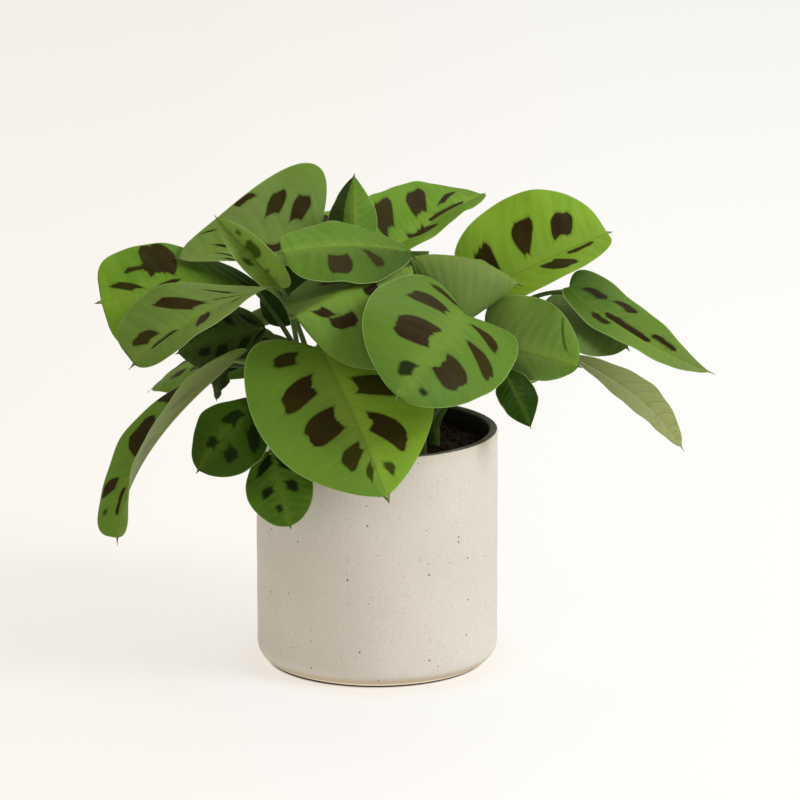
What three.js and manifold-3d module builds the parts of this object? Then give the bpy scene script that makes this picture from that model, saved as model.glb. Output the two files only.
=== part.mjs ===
// A prayer plant (maranta) in a straight stoneware pot. Millimetres, +Z up, front towards -Y.
// The origin is the middle of the pot's flat base.
import * as THREE from 'three';
import { mergeVertices } from 'three/addons/utils/BufferGeometryUtils.js';
import Module from 'manifold-3d';

const wasm = await Module();
wasm.setup();

// Pot
const POT_RADIUS = 65;
const POT_HEIGHT = 128;
const POT_WALL = 4.5;
const POT_FLOOR = 7;
const POT_BASE_ROUNDING = 10.7;
const POT_RIM_ROUNDING = 0.9;
const POT_INNER_ROUNDING = 8;
const POT_SIDES = 48;

// Soil
const SOIL_TOP = 118;
const SOIL_LUMPS = 1.4;
const SOIL_COARSE_SHARE = 0.6;
const SOIL_FINE_SHARE = 0.5;
const SOIL_SECTORS = 30;
const SOIL_RINGS = 8;
const FIT_GAP = 0.3;

// Stems and petioles
const STEM_RADIUS = 3;
const STEM_HEIGHT = 14;
const STEM_ROOT = 24;
const STEM_SIDES = 8;
const HOLE_RADIUS = STEM_RADIUS + 0.5;
const PETIOLE_FOOT = 1.7;
const PETIOLE_END = 1.1;
const PETIOLE_SIDES = 5;
const PETIOLE_STEPS = 7;
const PETIOLE_LEAN = 0.35;
const PETIOLE_START_HANDLE = 0.45;
const PETIOLE_END_HANDLE = 0.35;
const PETIOLE_JOINT_AT = 0.05;
const PETIOLE_JOINT_SLOPE = [0.75, 0.66];
const PETIOLE_JOINT_DEPTH = 0.3;

// Blades
const BLADE_THICKNESS = 0.8;
const BLADE_ROWS = 12;
const BLADE_COLUMNS = 6;
const SMALL_BLADE_WIDTH = 40;
const SMALL_BLADE_ROWS = 10;
const SMALL_BLADE_COLUMNS = 4;
const TIP_LENGTH = 0.045;
const TIP_FROM = 0.8;
const TIP_FULL = 0.92;
const TIP_SPREAD = 0.9;

// What a leaf has unless its own line says otherwise. Lengths are in millimetres, angles in degrees.
// L and R are the halves on either side of the midrib, seen from above with the tip pointing away.
// A pair of values runs from the base of the blade to its tip. Where bluntL is given, it takes the
// place of blunt on the left half.
const COMMON_LEAF = {
  width: 60,
  arch: 8,
  archAt: 0.5,
  skew: 0,
  twist: 0,
  foldL: 0,
  foldR: 0,
  curlL: -10,
  curlR: -10,
  peak: 0.45,
  wave: 1.5,
  waves: 2,
  phase: 0,
  lobe: 0.05,
  blunt: 0.6,
};

// The shoots: where each stem stands in the soil, and its leaves. A leaf has the point where its blade
// meets the petiole, its tip, and the way its upper side faces.
const SHOOTS = {
  shoot_front: {
    foot: [-8, -30],
    leaves: [
      { base: [-30, -50, 185], tip: [7, -104, 114], face: [-0.08, -0.75, 0.65], width: 97, arch: 10,
        peak: 0.4, lobe: 0.27, blunt: [0.45, 0.66] },
      { base: [-59, -60, 162], tip: [-95, -74, 122], face: [-0.25, -0.75, 0.6], width: 44, arch: 6,
        skew: -0.18, peak: 0.57, blunt: [1.1, 0.5], bluntL: [0.9, 0.5] },
      { base: [-56, -68, 133], tip: [-45, -78, 93], face: [-0.1, -0.9, 0.35], width: 36, arch: 4,
        peak: 0.5, blunt: [0.6, 0.45] },
    ],
  },
  shoot_front_right: {
    foot: [24, -24],
    leaves: [
      { base: [47, -45, 201], tip: [9, -118, 172], face: [0.37, -0.45, 0.8], width: 84, arch: 10,
        skew: 0.08, peak: 0.42, lobe: 0.38, blunt: [0.42, 0.6], bluntL: [0.42, 0.52], curlL: -25,
        curlR: -15 },
      { base: [60, -18, 177], tip: [109, -44, 172], face: [0.15, -0.9, 0.4], width: 52, arch: 6,
        skew: -0.24, foldR: -50, peak: 0.36, lobe: 0.25, blunt: [0.45, 0.5] },
      { base: [68, -35, 168], tip: [82, -42, 138], face: [0.2, -0.85, 0.5], width: 22, arch: 3,
        blunt: 0.8 },
    ],
  },
  shoot_centre: {
    foot: [4, -8],
    leaves: [
      { base: [19, -11, 220], tip: [-46, -64, 203], face: [-0.1, -0.8, 0.6], width: 92, arch: 6,
        skew: -0.15, foldR: -45, curlR: 0, peak: 0.6, blunt: [0.8, 0.55], bluntL: [0.8, 0.3],
        wave: 3, waves: 1.5, phase: 0.4 },
      { base: [19, -10, 227], tip: [-53, -35, 232], face: [0, -0.48, 0.88], width: 50, arch: 4,
        skew: -0.1, peak: 0.58, blunt: [0.6, 0.3] },
      { base: [18, 2, 221], tip: [78, 0, 206], face: [0.2, -0.2, 0.9], width: 48,
        skew: 0.65, foldL: -20, foldR: -34, curlR: -52, peak: 0.5, blunt: [0.8, 0.6] },
    ],
  },
  shoot_left: {
    foot: [-36, -14],
    leaves: [
      { base: [-53, -36, 215], tip: [-130, -68, 177], face: [-0.35, -0.55, 0.75], width: 68,
        skew: 0.2, foldL: 33, curlL: -15, peak: 0.7, blunt: [0.8, 0.22], bluntL: [0.8, 0.38] },
      { base: [-69, -22, 176], tip: [-138, -50, 76], face: [-0.8, 0.25, 0.54], width: 51, arch: 14,
        archAt: 0.66, skew: -0.02, foldL: [32, 20], foldR: [45, 15], curlL: -5, peak: 0.5,
        twist: [-5, 45], blunt: [0.62, 0.25], bluntL: [0.95, 0.25] },
      { base: [-60, 13, 180], tip: [-109, 18, 164], face: [-0.1, -0.65, 0.7], width: 46, arch: 5,
        peak: 0.5, blunt: 0.8 },
      { base: [-80, -5, 164], tip: [-86, -6, 144], face: [-0.5, -0.5, 0.5], width: 13, arch: 3,
        blunt: 0.8 },
    ],
  },
  shoot_upper_left: {
    foot: [-26, 8],
    leaves: [
      { base: [-32, 22, 226], tip: [-109, 10, 219], face: [-0.15, -0.85, 0.35], width: 73, arch: 4,
        skew: 0.25, foldL: 42, foldR: [0, -15], curlL: 10, curlR: -15, peak: 0.15, lobe: 0.13,
        blunt: [1.2, 0.6], bluntL: [2, 0.5], wave: 2 },
      { base: [-62, 12, 202], tip: [-151, -7, 198], face: [-0.1, -0.6, 0.75], width: 68,
        foldL: -10, foldR: 5, curlR: -15, peak: 0.74, blunt: [0.32, 0.22], bluntL: [0.6, 0.22] },
      { base: [-51, -16, 209], tip: [-86, -30, 252], face: [-0.4, -0.7, 0.6], width: 25, arch: 3,
        skew: 0.3, foldL: 30, foldR: 55 },
      { base: [-37, 25, 188], tip: [-62, 27, 205], face: [-0.1, -0.95, 0.2], width: 38, arch: 3,
        blunt: 0.6 },
    ],
  },
  shoot_top: {
    foot: [10, 14],
    leaves: [
      { base: [-11, 3, 225], tip: [-12, 9, 266], face: [0.3, -0.9, 0.1], width: 30, arch: -3,
        foldL: -35, foldR: -10, peak: 0.35, blunt: [0.7, 0.9] },
      { base: [12, 24, 223], tip: [59, 74, 241], face: [0.1, -0.4, 0.92], width: 50, arch: 2,
        skew: -0.3, foldL: [32, 0], foldR: 38, peak: 0.3, lobe: 0.15, blunt: [0.45, 0.42] },
      { base: [59, 17, 200], tip: [127, 31, 229], face: [0, -0.85, 0.5], width: 63, arch: 5,
        skew: -0.3, foldL: 5, foldR: 45, peak: 0.46, lobe: 0.2, blunt: [0.45, 0.34] },
    ],
  },
  shoot_right: {
    foot: [31, -2],
    leaves: [
      { base: [91, 30, 191], tip: [136, 9, 168], face: [0.4, -0.5, 0.7], width: 60, peak: 0.5,
        blunt: 0.42 },
      { base: [103, 10, 203], tip: [181, -10, 160], face: [0.3, -0.6, 0.75], width: 33, arch: -6,
        skew: -0.12, foldL: 20, foldR: 20, peak: 0.3, blunt: [0.6, 0.42], bluntL: [0.6, 0.95] },
      { base: [103, -7, 170], tip: [164, -28, 122], face: [0.5, 0.6, 0.62], width: 38, arch: 7,
        archAt: 0.6, foldL: 10, foldR: 10, peak: 0.55, blunt: 0.7, wave: 0.4 },
    ],
  },
};

// The shoots at the back: their leaves fan out in tiers. A leaf has its turn round the pot in degrees,
// 0 towards +X and 90 towards the back, how far out and up its base and tip are, and its width.
const BACK_SHOOTS = {
  shoot_back_right: {
    foot: [30, 26],
    leaves: [
      { turn: 58, baseOut: 56, baseUp: 156, tipOut: 134, tipUp: 124, width: 64 },
      { turn: 66, baseOut: 46, baseUp: 184, tipOut: 138, tipUp: 158, width: 70 },
      { turn: 50, baseOut: 44, baseUp: 193, tipOut: 114, tipUp: 180, width: 60 },
    ],
  },
  shoot_back: {
    foot: [0, 38],
    leaves: [
      { turn: 95, baseOut: 58, baseUp: 166, tipOut: 142, tipUp: 134, width: 70 },
      { turn: 90, baseOut: 38, baseUp: 202, tipOut: 112, tipUp: 188, width: 64 },
      { turn: 84, baseOut: 38, baseUp: 218, tipOut: 100, tipUp: 212, width: 54 },
    ],
  },
  shoot_back_left: {
    foot: [-28, 30],
    leaves: [
      { turn: 122, baseOut: 48, baseUp: 184, tipOut: 138, tipUp: 158, width: 70 },
      { turn: 150, baseOut: 60, baseUp: 162, tipOut: 140, tipUp: 132, width: 64 },
      { turn: 128, baseOut: 48, baseUp: 200, tipOut: 114, tipUp: 182, width: 62 },
      { turn: 126, baseOut: 46, baseUp: 220, tipOut: 98, tipUp: 216, width: 54 },
    ],
  },
};
const BACK_LEAF = {
  arch: 9, twist: 12, foldL: 6, foldR: 6, curlL: -25, curlR: -25, peak: 0.46, lobe: 0.12,
  blunt: [0.5, 0.62], wave: 2,
};
const BACK_LEAN = 0.15;
const BACK_SWING = 8;
const SEED = 7;

const COLOURS = {
  pot: { color: 0xcfc7ba, roughness: 0.75 },
  soil: { color: 0x2e211a, roughness: 1 },
  leaf: { color: 0x5f8f35, roughness: 0.5 },
};

const radians = THREE.MathUtils.degToRad;

// A small random number generator with its own seed, from 0 to 1
function randomSource(seed) {
  let state = seed;
  return () => {
    state = (state * 16807) % 2147483647;
    return state / 2147483647;
  };
}

// The value of a number or of a pair that runs from base to tip
function along(value, t) {
  return Array.isArray(value) ? value[0] + (value[1] - value[0]) * t : value;
}

// Half the width of a blade at t, as a share of its widest
function outline(leaf, t, right) {
  const warp = Math.log(0.5) / Math.log(leaf.peak);
  const s = Math.min(t / (1 - TIP_LENGTH), 1);
  const blunt = right ? leaf.blunt : leaf.bluntL ?? leaf.blunt;
  const body = Math.max(Math.sin(Math.PI * s ** warp), 0) ** along(blunt, t);
  const near = THREE.MathUtils.smoothstep(t, TIP_FROM, TIP_FULL);
  const point = TIP_SPREAD * (1 - t) * near;
  return (body ** 3 + point ** 3) ** (1 / 3);
}

// The midrib of a leaf and the blade's own directions there: forward, sideways to the right, and up
function midrib(leaf, t) {
  const base = new THREE.Vector3(...leaf.base);
  const tip = new THREE.Vector3(...leaf.tip);
  const chord = tip.clone().sub(base);
  const line = chord.clone().normalize();
  const facing = new THREE.Vector3(...leaf.face);
  facing.addScaledVector(line, -facing.dot(line)).normalize();
  const across = line.clone().cross(facing);
  const crown = base.clone().addScaledVector(chord, leaf.archAt).addScaledVector(facing, 2 * leaf.arch);
  const curve = new THREE.QuadraticBezierCurve3(base, crown, tip);
  const forward = curve.getTangent(t);
  const flat = across.clone().addScaledVector(forward, -forward.dot(across)).normalize();
  const lift = flat.clone().cross(forward);
  const roll = radians(along(leaf.twist, t));
  const side = flat.clone().multiplyScalar(Math.cos(roll)).addScaledVector(lift, Math.sin(roll));
  const up = lift.clone().multiplyScalar(Math.cos(roll)).addScaledVector(flat, -Math.sin(roll));
  return { point: curve.getPoint(t), forward, side, up, length: chord.length() };
}

// A point of the blade's middle surface: t from base to tip, v from -1 at the left margin to 1
function bladePoint(leaf, t, v) {
  const frame = midrib(leaf, t);
  const right = v > 0;
  const u = Math.abs(v);
  const share = outline(leaf, t, right);
  const half = (leaf.width / 2) * share * (right ? 1 + leaf.skew : 1 - leaf.skew);
  const fold = radians(along(right ? leaf.foldR : leaf.foldL, t));
  const curl = radians(along(right ? leaf.curlR : leaf.curlL, t)) || 0.001;
  const out = (half * (Math.sin(fold + curl * u) - Math.sin(fold))) / curl;
  const bend = (half * (Math.cos(fold) - Math.cos(fold + curl * u))) / curl;
  const turn = leaf.waves * t + leaf.phase + (right ? 0.25 : 0);
  const wave = leaf.wave * share * u * u * Math.sin(2 * Math.PI * turn);
  const sweep = -2 * leaf.lobe * frame.length * share * (1 - t) ** 4 * u ** 1.5;
  return frame.point
    .addScaledVector(frame.forward, sweep)
    .addScaledVector(frame.side, out * Math.sign(v))
    .addScaledVector(frame.up, bend + wave);
}

// The blade's upward normal at a point, from its neighbours on the surface
function bladeNormal(leaf, t, v) {
  const step = 0.01;
  const t0 = THREE.MathUtils.clamp(t - step, 0.02, 0.96);
  const t1 = t0 + 2 * step;
  const v0 = Math.max(v - step, -1);
  const v1 = Math.min(v + step, 1);
  const middle = (t0 + t1) / 2;
  const forward = bladePoint(leaf, t1, v).sub(bladePoint(leaf, t0, v));
  const across = bladePoint(leaf, middle, v1).sub(bladePoint(leaf, middle, v0));
  return across.cross(forward).normalize();
}

// A closed mesh turned into a solid that can be joined or cut
function solidOf(positions, triangles) {
  const mesh = new wasm.Mesh({
    numProp: 3,
    vertProperties: new Float32Array(positions),
    triVerts: new Uint32Array(triangles),
  });
  return new wasm.Manifold(mesh);
}

function solidOfGeometry(geometry) {
  const bare = geometry.clone();
  bare.deleteAttribute('normal');
  bare.deleteAttribute('uv');
  const merged = mergeVertices(bare, 0.0001);
  return solidOf(merged.attributes.position.array, merged.index.array);
}

function geometryOf(solid) {
  const mesh = solid.getMesh();
  const geometry = new THREE.BufferGeometry();
  geometry.setAttribute('position', new THREE.BufferAttribute(mesh.vertProperties, 3));
  geometry.setIndex(new THREE.BufferAttribute(mesh.triVerts, 1));
  geometry.computeVertexNormals();
  return geometry;
}

// A thin waved blade: rows of points on the upper and lower side, with one point at base and tip
function bladeSolid(leaf) {
  const small = leaf.width < SMALL_BLADE_WIDTH;
  const rowCount = small ? SMALL_BLADE_ROWS : BLADE_ROWS;
  const columnCount = small ? SMALL_BLADE_COLUMNS : BLADE_COLUMNS;
  const positions = [];
  const triangles = [];
  const loops = [1, -1].map((side) => {
    const offset = (side * BLADE_THICKNESS) / 2;
    const rows = [];
    for (let i = 0; i <= rowCount; i += 1) {
      const t = 0.5 - 0.5 * Math.cos((Math.PI * i) / rowCount);
      const pole = i === 0 || i === rowCount;
      const row = [];
      for (let j = 0; j <= (pole ? 0 : columnCount); j += 1) {
        const v = pole ? 0 : (2 * j) / columnCount - 1;
        const point = bladePoint(leaf, t, v).addScaledVector(bladeNormal(leaf, t, v), offset);
        row.push(positions.length / 3);
        positions.push(point.x, point.y, point.z);
      }
      rows.push(row);
    }
    return rows;
  });
  const at = (row, j) => row[Math.min(j, row.length - 1)];
  loops.forEach((rows, k) => {
    const face = (a, b, c) => triangles.push(...(k === 0 ? [a, b, c] : [a, c, b]));
    for (let i = 0; i < rowCount; i += 1) {
      for (let j = 0; j < columnCount; j += 1) {
        const [a, b] = [at(rows[i], j), at(rows[i], j + 1)];
        const [c, d] = [at(rows[i + 1], j + 1), at(rows[i + 1], j)];
        if (a !== b) face(a, b, c);
        if (c !== d) face(a, c, d);
      }
    }
  });
  const edges = [0, columnCount].map((j) => loops.map((rows) => rows.map((row) => at(row, j))));
  edges.forEach(([top, bottom], k) => {
    const face = (a, b, c) => triangles.push(...(k === 0 ? [a, b, c] : [a, c, b]));
    for (let i = 0; i < rowCount; i += 1) {
      face(top[i], top[i + 1], bottom[i + 1]);
      face(top[i], bottom[i + 1], bottom[i]);
    }
  });
  return solidOf(positions, triangles);
}

// A closed tapering tube with flat ends
function tubeSolid(curve, steps, sides, radiusAt) {
  const positions = [];
  const triangles = [];
  const frames = curve.computeFrenetFrames(steps, false);
  for (let i = 0; i <= steps; i += 1) {
    const centre = curve.getPoint(i / steps);
    const radius = radiusAt(i / steps);
    for (let k = 0; k < sides; k += 1) {
      const turn = (2 * Math.PI * k) / sides;
      const point = centre
        .clone()
        .addScaledVector(frames.normals[i], radius * Math.cos(turn))
        .addScaledVector(frames.binormals[i], radius * Math.sin(turn));
      positions.push(point.x, point.y, point.z);
    }
  }
  for (let i = 0; i < steps; i += 1) {
    for (let k = 0; k < sides; k += 1) {
      const next = (k + 1) % sides;
      const [a, b] = [i * sides + k, i * sides + next];
      triangles.push(a, b, b + sides, a, b + sides, a + sides);
    }
  }
  const last = steps * sides;
  for (let k = 1; k < sides - 1; k += 1) {
    triangles.push(0, k + 1, k, last, last + k, last + k + 1);
  }
  return solidOf(positions, triangles);
}

// The petiole rises from the stem and meets the blade from below, a little way along its midrib
function petioleCurve(leaf, start) {
  const end = midrib(leaf, PETIOLE_JOINT_AT);
  const [onward, upward] = PETIOLE_JOINT_SLOPE;
  const arrival = end.forward.clone().multiplyScalar(onward).addScaledVector(end.up, upward).normalize();
  const reach = end.point.distanceTo(start);
  const away = end.point.clone().sub(start).setZ(0).normalize();
  const rise = new THREE.Vector3(PETIOLE_LEAN * away.x, PETIOLE_LEAN * away.y, 1).normalize();
  return new THREE.CubicBezierCurve3(
    start,
    start.clone().addScaledVector(rise, PETIOLE_START_HANDLE * reach),
    end.point.clone().addScaledVector(arrival, -PETIOLE_END_HANDLE * reach),
    end.point.clone().addScaledVector(arrival, PETIOLE_JOINT_DEPTH),
  );
}

function shootSolid(shoot) {
  const [x, y] = shoot.foot;
  const root = new THREE.Vector3(x, y, SOIL_TOP - STEM_ROOT);
  const top = new THREE.Vector3(x, y, SOIL_TOP + STEM_HEIGHT);
  const stem = tubeSolid(new THREE.LineCurve3(root, top), 2, STEM_SIDES, () => STEM_RADIUS);
  const pieces = [stem];
  shoot.leaves.forEach((own) => {
    const leaf = { ...COMMON_LEAF, ...own };
    const start = top.clone().setZ(top.z - 2 * PETIOLE_FOOT);
    const curve = petioleCurve(leaf, start);
    const radiusAt = (t) => PETIOLE_FOOT + (PETIOLE_END - PETIOLE_FOOT) * t;
    pieces.push(tubeSolid(curve, PETIOLE_STEPS, PETIOLE_SIDES, radiusAt));
    pieces.push(bladeSolid(leaf));
  });
  return pieces.reduce((whole, piece) => whole.add(piece));
}

// The shoots at the back, with a small random swing of each leaf about its petiole
function backShoots() {
  const random = randomSource(SEED);
  const place = (out, angle, up) => [out * Math.cos(angle), out * Math.sin(angle), up];
  const shoots = {};
  for (const [name, { foot, leaves }] of Object.entries(BACK_SHOOTS)) {
    shoots[name] = {
      foot,
      leaves: leaves.map(({ turn, baseOut, baseUp, tipOut, tipUp, width }, i) => {
        const angle = radians(turn);
        const swing = radians(BACK_SWING * (2 * random() - 1));
        const base = place(baseOut, angle, baseUp);
        const tip = place(tipOut, angle + swing, tipUp);
        return { ...BACK_LEAF, base, tip, face: place(BACK_LEAN, angle, 1), width, phase: i / 3 };
      }),
    };
  }
  return shoots;
}

// Points of a quarter round from one angle to another, in degrees
function roundedCorner(x, z, radius, from, to, steps) {
  const points = [];
  for (let i = 0; i <= steps; i += 1) {
    const angle = radians(from + ((to - from) * i) / steps);
    points.push(new THREE.Vector2(x + radius * Math.cos(angle), z + radius * Math.sin(angle)));
  }
  return points;
}

// The pot's profile, from the middle of its base out, over the rim and down to the middle of its floor
function potGeometry() {
  const bore = POT_RADIUS - POT_WALL;
  const lip = POT_HEIGHT - POT_RIM_ROUNDING;
  const [foot, rim, well] = [POT_BASE_ROUNDING, POT_RIM_ROUNDING, POT_INNER_ROUNDING];
  const profile = [
    new THREE.Vector2(0, 0),
    ...roundedCorner(POT_RADIUS - foot, foot, foot, -90, 0, 6),
    ...roundedCorner(POT_RADIUS - rim, lip, rim, 0, 90, 2),
    ...roundedCorner(bore + rim, lip, rim, 90, 180, 2),
    ...roundedCorner(bore - well, POT_FLOOR + well, well, 0, -90, 3),
    new THREE.Vector2(0, POT_FLOOR),
  ];
  return new THREE.LatheGeometry(profile, POT_SIDES).rotateX(Math.PI / 2);
}

// The height of the soil's lumpy top
function soilHeight(x, y) {
  const coarse = Math.sin(0.21 * x + 0.7) * Math.cos(0.17 * y - 0.4);
  const fine = Math.sin(0.47 * x - 0.31 * y) * Math.cos(0.39 * x + 0.52 * y + 1.1);
  return SOIL_TOP + SOIL_LUMPS * (SOIL_COARSE_SHARE * coarse + SOIL_FINE_SHARE * fine);
}

// The soil fills the pot up to its lumpy top, with a plain hole for each stem
function soilSolid(feet) {
  const radius = POT_RADIUS - POT_WALL - FIT_GAP;
  const floor = POT_FLOOR + FIT_GAP;
  const rounding = POT_INNER_ROUNDING;
  const profile = [
    new THREE.Vector2(0, floor),
    ...roundedCorner(radius - rounding, floor + rounding, rounding, -90, 0, 3),
  ];
  for (let i = 0; i < SOIL_RINGS; i += 1) {
    profile.push(new THREE.Vector2(radius * (1 - i / SOIL_RINGS), SOIL_TOP));
  }
  profile.push(new THREE.Vector2(0, SOIL_TOP));
  const body = new THREE.LatheGeometry(profile, SOIL_SECTORS).rotateX(Math.PI / 2);
  const places = body.attributes.position;
  for (let i = 0; i < places.count; i += 1) {
    if (places.getZ(i) > SOIL_TOP - 0.01) {
      places.setZ(i, soilHeight(places.getX(i), places.getY(i)));
    }
  }
  return feet.reduce((soil, [x, y]) => {
    const bottom = new THREE.Vector3(x, y, SOIL_TOP - STEM_ROOT - FIT_GAP);
    const top = new THREE.Vector3(x, y, SOIL_TOP + 3 * SOIL_LUMPS);
    const hole = tubeSolid(new THREE.LineCurve3(bottom, top), 1, STEM_SIDES, () => HOLE_RADIUS);
    return soil.subtract(hole);
  }, solidOfGeometry(body));
}

function materialOf(kind) {
  const { color, roughness } = COLOURS[kind];
  return new THREE.MeshStandardMaterial({ color, roughness, metalness: 0 });
}

function named(name, geometry, kind) {
  const mesh = new THREE.Mesh(geometry, materialOf(kind));
  mesh.name = name;
  return mesh;
}

const shoots = { ...SHOOTS, ...backShoots() };
const feet = Object.values(shoots).map((shoot) => shoot.foot);

const plant = new THREE.Group();
for (const [name, shoot] of Object.entries(shoots)) {
  plant.add(named(name, geometryOf(shootSolid(shoot)), 'leaf'));
}

const group = new THREE.Group();
group.add(named('pot', geometryOf(solidOfGeometry(potGeometry())), 'pot'));
group.add(named('soil', geometryOf(soilSolid(feet)), 'soil'));
group.add(plant);

export default group;
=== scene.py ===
import math

import bpy
import numpy as np
from mathutils import Matrix, Vector


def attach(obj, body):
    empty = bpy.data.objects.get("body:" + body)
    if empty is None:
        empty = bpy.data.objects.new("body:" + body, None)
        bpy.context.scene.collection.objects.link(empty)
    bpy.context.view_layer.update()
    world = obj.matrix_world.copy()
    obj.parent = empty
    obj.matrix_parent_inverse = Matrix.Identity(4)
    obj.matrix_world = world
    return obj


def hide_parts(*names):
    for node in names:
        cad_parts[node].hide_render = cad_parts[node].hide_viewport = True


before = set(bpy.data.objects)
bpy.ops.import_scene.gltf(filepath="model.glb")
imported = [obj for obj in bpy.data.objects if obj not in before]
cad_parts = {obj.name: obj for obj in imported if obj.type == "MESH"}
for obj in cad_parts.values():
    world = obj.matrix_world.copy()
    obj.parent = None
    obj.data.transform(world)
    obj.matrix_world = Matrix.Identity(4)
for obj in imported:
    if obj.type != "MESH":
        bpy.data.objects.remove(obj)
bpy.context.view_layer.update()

MM = 0.001


bpy.context.scene.view_settings.view_transform = "Standard"

# Camera: where it looks, from how far and how many degrees up, and how long its lens is
LOOK_AT = (12.4, 0, 143.3)
CAMERA_DISTANCE = 3200
CAMERA_ELEVATION = 14.3
LENS = 268

# Pot. The dark glaze starts this many degrees up the lip's outer rounding. The bands of the glaze are
# pairs of heights between which each one fades; the foot line is a painted reflection of the floor and
# the rim's fade is painted shade inside the pot. A set of specks has how many cells there are along a
# metre, a speck's least radius, the share of the cells that have one, how dark it is, and how deep.
POT_RADIUS = 65
POT_HEIGHT = 128
POT_WALL = 4.5
POT_FLOOR = 7
POT_BASE_ROUNDING = 10.7
POT_RIM_ROUNDING = 0.9
POT_INNER_ROUNDING = 8
POT_BASE_INSET = 12
POT_SIDES = 192
POT_UNEVEN = 0.12
DARK_GLAZE_FROM = 60
FOOT_REFLECTION_LINE = (1.6, 2.8)
TAN_BAND = (3, 7.5)
LIP_BAND = (POT_HEIGHT - 6.5, POT_HEIGHT - 1.8)
INSIDE_SHADE_FADE = (POT_HEIGHT - 1.8, POT_HEIGHT - 0.2)
BAND_RAGGED = 1.6
SPECKS = ((190, 0.32, 0.45, 0.95, 1.5), (430, 0.176, 0.4, 0.6, 0))

# Soil
SOIL_TOP = 118
SOIL_LUMPS = 1.4
SOIL_GRIT = 0.35
FIT_GAP = 0.3
SOIL_SECTORS = 160
SOIL_RINGS = 44
CRUMBS = 420
CRUMB_SIZE = 2
CRUMB_MARGIN = 2.5

# Stems and petioles. A stem has sections, each with its height above the soil and its share of the
# stem's radius. A petiole has a sheath at its foot and a swollen joint below the blade.
STEM_RADIUS = 3
STEM_HEIGHT = 14
STEM_SINK = 0.4
STEM_SECTIONS = ((-8, 1.02), (-2, 1.02), (2, 1), (5, 0.96), (8, 0.95), (10, 0.93), (12, 0.88),
                 (13.2, 0.74), (14, 0.4))
STEM_TONE = -0.3
PETIOLE_FOOT = 1.7
PETIOLE_END = 1.1
PETIOLE_LEAN = 0.35
PETIOLE_START_HANDLE = 0.45
PETIOLE_END_HANDLE = 0.35
PETIOLE_JOINT_AT = 0.05
PETIOLE_JOINT_SLOPE = (0.75, 0.66)
PETIOLE_STEPS = 30
PETIOLE_SIDES = 12
SHEATH_SWELLING = 0.9
SHEATH_LENGTH = 9
JOINT_SWELLING = 0.35
JOINT_LENGTH = 4
JOINT_BELOW_BLADE = 6

# Blades. Columns crowd towards the midrib, which stands out below and lies in a groove above.
BLADE_THICKNESS = 0.5
MARGIN_THICKNESS = 0.16
BLADE_ROWS = 84
BLADE_COLUMNS = 44
COLUMN_CROWDING = 1.25
TIP_LENGTH = 0.045
TIP_FROM = 0.8
TIP_FULL = 0.92
TIP_SPREAD = 0.9
TIP_DARKER = 1.2
TIP_DARK = (0.94, 0.98)
LEAST_CURL = 0.001
RIB_DEPTH = 0.8
RIB_BREADTH = 1.3
RIB_TAPER = 0.75
GROOVE_DEPTH = 0.22
GROOVE_BREADTH = 0.9
GROOVE_TAPER = 0.6
SIDE_VEINS = 9
VEIN_SWEEP = 0.3
QUILTING = 0.36
RIPPLE = 0.3
RIPPLES = 5.3
SHADE_BLEND = 0.06

# Blotches. The first of the two values of MARK_ROUND and of MARK_NOTCH is for the end at the midrib.
# MARK_BROAD is half the size, along and across, from which a blotch has a fully coarse edge.
OUTSIDE = 8.0
MARK_SPREAD = 2.5
MARK_NARROW = 0.6
MARK_TAPER = 1.3
MARK_FULL = 1.04
MARK_ROUND = (0.14, 0.46)
MARK_BROAD = (5.5, 14.0)
MARK_NOTCH = (0.28, 0.08)
MARK_LEAST_COARSE = 0.08

# Blotches of a leaf whose own aren't listed. A pair of values runs from the base of the blade to its tip.
USUAL_PLACES = (0.02, 0.24, 0.48, 0.7)
USUAL_SHIFT = 0.03
USUAL_STAGGER = 0.05
USUAL_ACROSS = (0.46, 0.3)
USUAL_SPREAD = 0.05
USUAL_HALF_S = 0.06875
USUAL_VARIATION = 0.0375
USUAL_HALF_V = (0.19, 0.1)
USUAL_NARROW = (0.35, 0.85)

# Studio, in metres and watts. FLOOR_FADE is where the floor's left tone, painted shade that is warmer and
# a little darker, turns into the right one. A ring is two distances from the contact's centre: inside one
# the floor has a painted warm glow, and inside the other a painted contact shadow with no glow.
LIGHTS = {
    "key_light": dict(place=(1.9, -0.9, 1.9), size=1.25, power=43.5, tint=(0.965, 0.99, 1.03)),
    "top_light": dict(place=(0.3, 0.9, 1.7), size=1.2, power=6, tint=(1, 0.99, 0.96)),
}
LIGHT_AIM = (0, 0, 0.14)
WORLD_TINT = (1, 0.865, 0.65, 1)
WORLD_STRENGTH = 0.54
VIEW_DEPTH = 20
FLOOR_HALF = 6
FLOOR_FADE = (-0.3, 0.25)
FLOOR_GLOW = 2.34
CONTACT_CENTRE = (-0.0006, -0.0008, 0)
CONTACT_SHADOW_RING = (0.0565, 0.0598)
WARM_GLOW_RING = (0.058, 0.088)

# What a leaf has unless its own line says otherwise. Lengths are in millimetres, angles in degrees.
# L and R are the halves on either side of the midrib, seen from above with the tip pointing away.
# A pair of values runs from the base of the blade to its tip. Where blunt_l is given, it takes the
# place of blunt on the left half. The tone is the painted light and shade of the green: -1 in deep
# shade, 0 plain and 1 in full light. shade_l and shade_r add painted light to it on their half, or
# painted shade where negative, outwards from shade_from, and under does so on the lower side. The
# sheen share is how much painted greyish sheen a leaf has, and green is how green the blotches are
# that don't say it themselves. With marks None a leaf has the usual ones.
COMMON_LEAF = dict(
    width=60, arch=8, arch_at=0.5, skew=0, twist=0, fold_l=0, fold_r=0, curl_l=-10, curl_r=-10,
    peak=0.45, wave=1.5, waves=2, phase=0, lobe=0.05, blunt=0.6, blunt_l=None, tone=0, marks=None,
    green=0, bloom=0.1, shade_l=0, shade_r=0, shade_from=0, under=0,
)

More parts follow.
